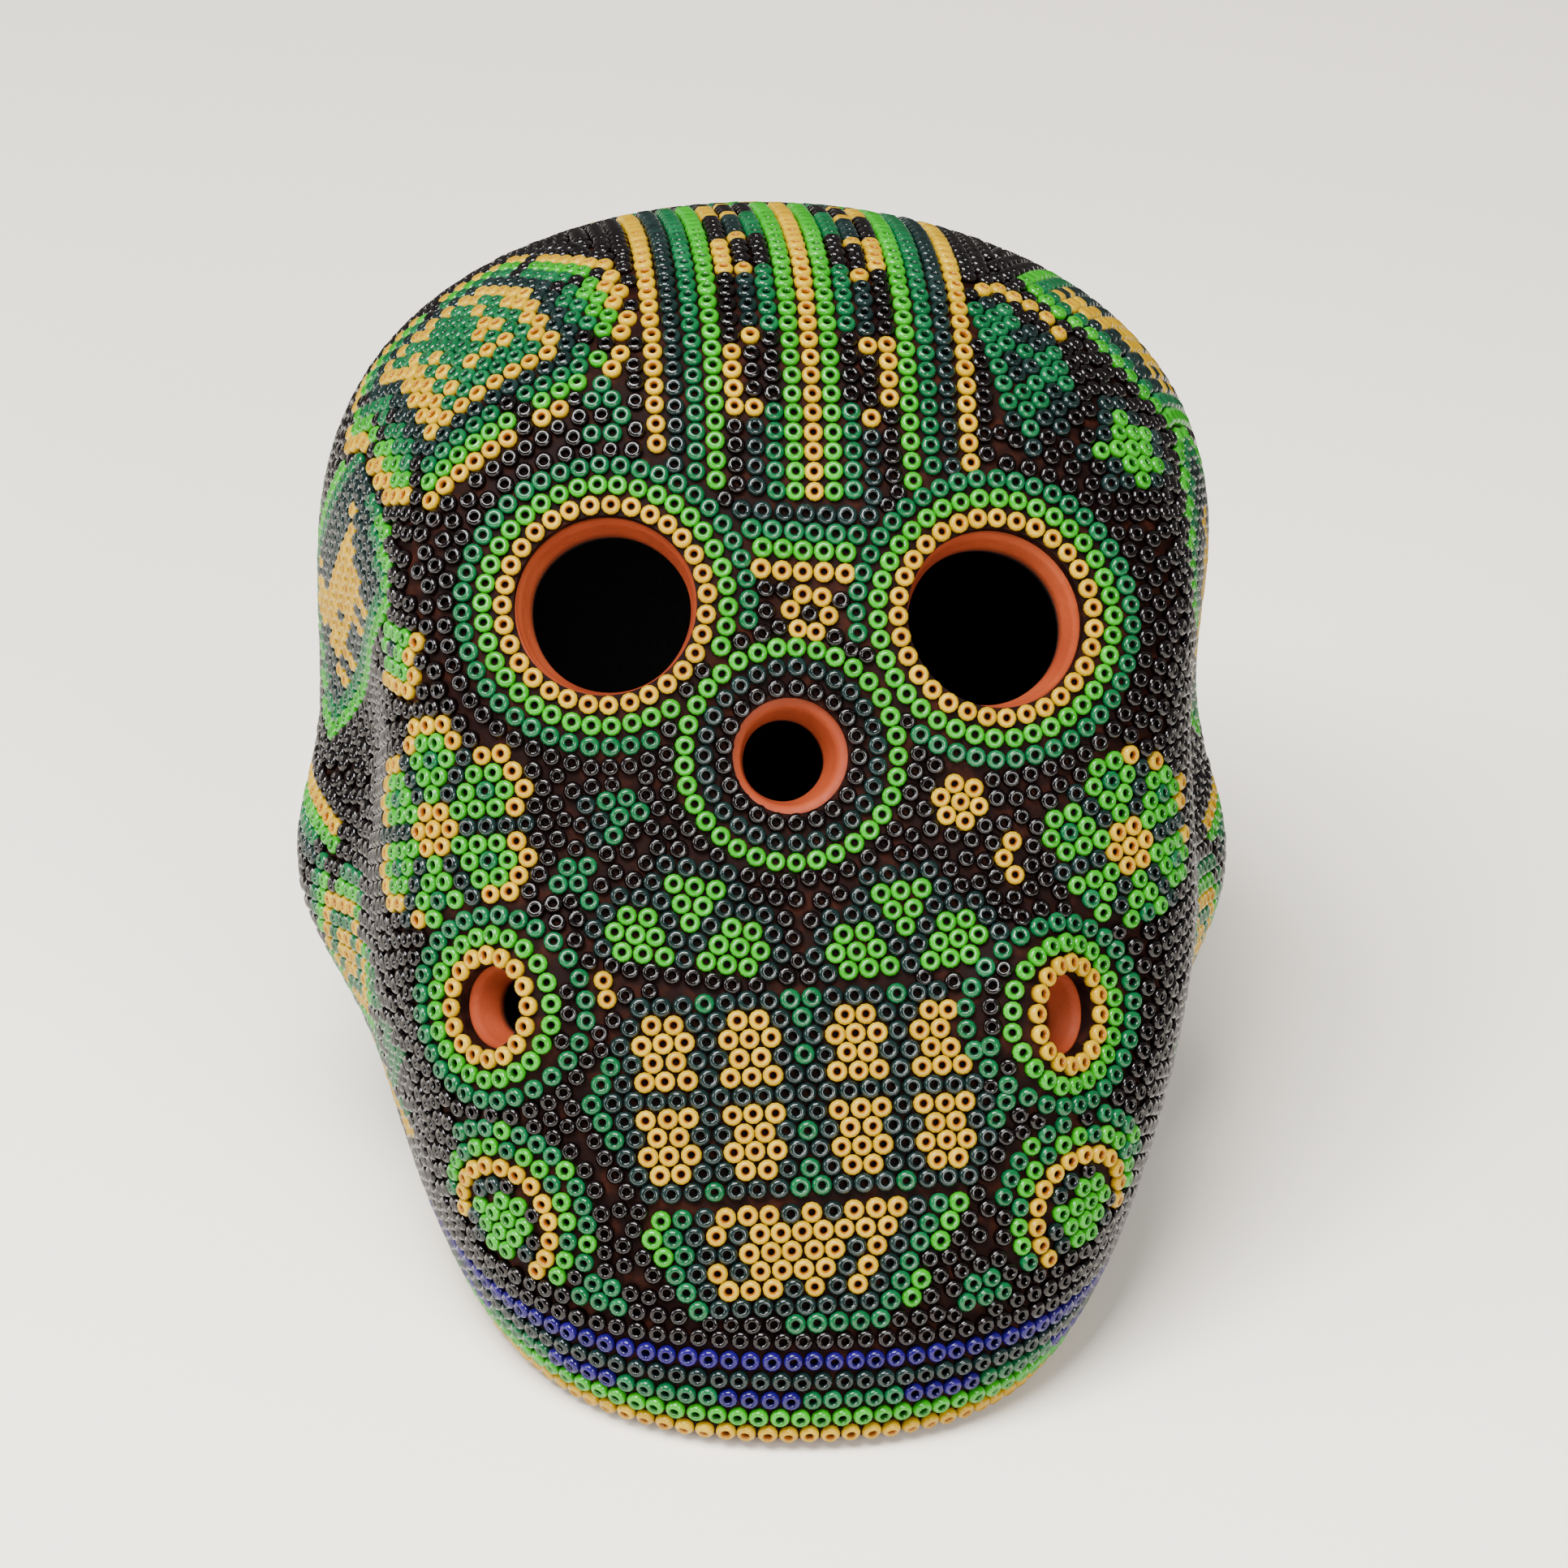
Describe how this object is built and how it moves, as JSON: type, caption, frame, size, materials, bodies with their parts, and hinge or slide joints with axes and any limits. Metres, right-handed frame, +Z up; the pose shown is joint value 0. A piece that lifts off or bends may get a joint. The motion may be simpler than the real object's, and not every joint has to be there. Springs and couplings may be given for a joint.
{
  "type": "beaded skull figure",
  "caption": "Hollow clay skull with an open base, a wax skin and a mosaic of glass seed beads, ringed eye, nose and cheek holes, and a flat foot to stand on.",
  "frame": {"origin": "under the middle of the skull's bounding box, on the surface it stands on", "axes": "+Z up, +Y from the face to the back of the head, +X to the right of someone who faces it"},
  "size_m": [0.107, 0.147, 0.111],
  "materials": {
    "terracotta": "matte fired clay",
    "wax": "soft satin beeswax",
    "yellow_glass": "glossy opaque",
    "lime_glass": "glossy opaque",
    "green_glass": "glossy opaque",
    "dark_green_glass": "glossy opaque",
    "black_glass": "glossy opaque",
    "blue_glass": "glossy opaque"
  },
  "bodies": {
    "root": {"skull_clay": "terracotta", "wax_skin": "wax", "left_eye_ring_yellow": "yellow_glass", "left_eye_ring_lime": "lime_glass", "left_eye_ring_green": "green_glass", "right_eye_ring_yellow": "yellow_glass", "right_eye_ring_lime": "lime_glass", "right_eye_ring_green": "green_glass", "nose_ring_black": "black_glass", "nose_ring_dark_green": "dark_green_glass", "nose_ring_lime": "lime_glass", "left_cheek_ring_yellow": "yellow_glass", "left_cheek_ring_lime": "lime_glass", "left_cheek_ring_green": "green_glass", "right_cheek_ring_yellow": "yellow_glass", "right_cheek_ring_lime": "lime_glass", "right_cheek_ring_green": "green_glass", "course_yellow": "yellow_glass", "course_lime": "lime_glass", "course_green_blue": "green_glass", "course_dark_green": "dark_green_glass", "course_blue": "blue_glass", "course_black": "black_glass", "forehead_stripes": "green_glass", "brow_bridge": "dark_green_glass", "nose_surround": "black_glass", "upper_lip": "green_glass", "teeth": "yellow_glass", "teeth_ground": "dark_green_glass", "chin_panel": "dark_green_glass", "left_crown_panel": "yellow_glass", "right_crown_panel": "yellow_glass", "left_temple": "green_glass", "right_temple": "green_glass", "left_cheek_flower": "lime_glass", "right_cheek_flower": "lime_glass", "left_cheekbone": "black_glass", "right_cheekbone": "black_glass", "left_cheek_hollow": "black_glass", "right_cheek_hollow": "black_glass", "left_jaw": "green_glass", "right_jaw": "green_glass", "left_jaw_side": "black_glass", "right_jaw_side": "black_glass", "left_ear_side": "green_glass", "right_ear_side": "green_glass", "back_crown": "black_glass", "back_of_head": "black_glass"}
  },
  "joints": []
}
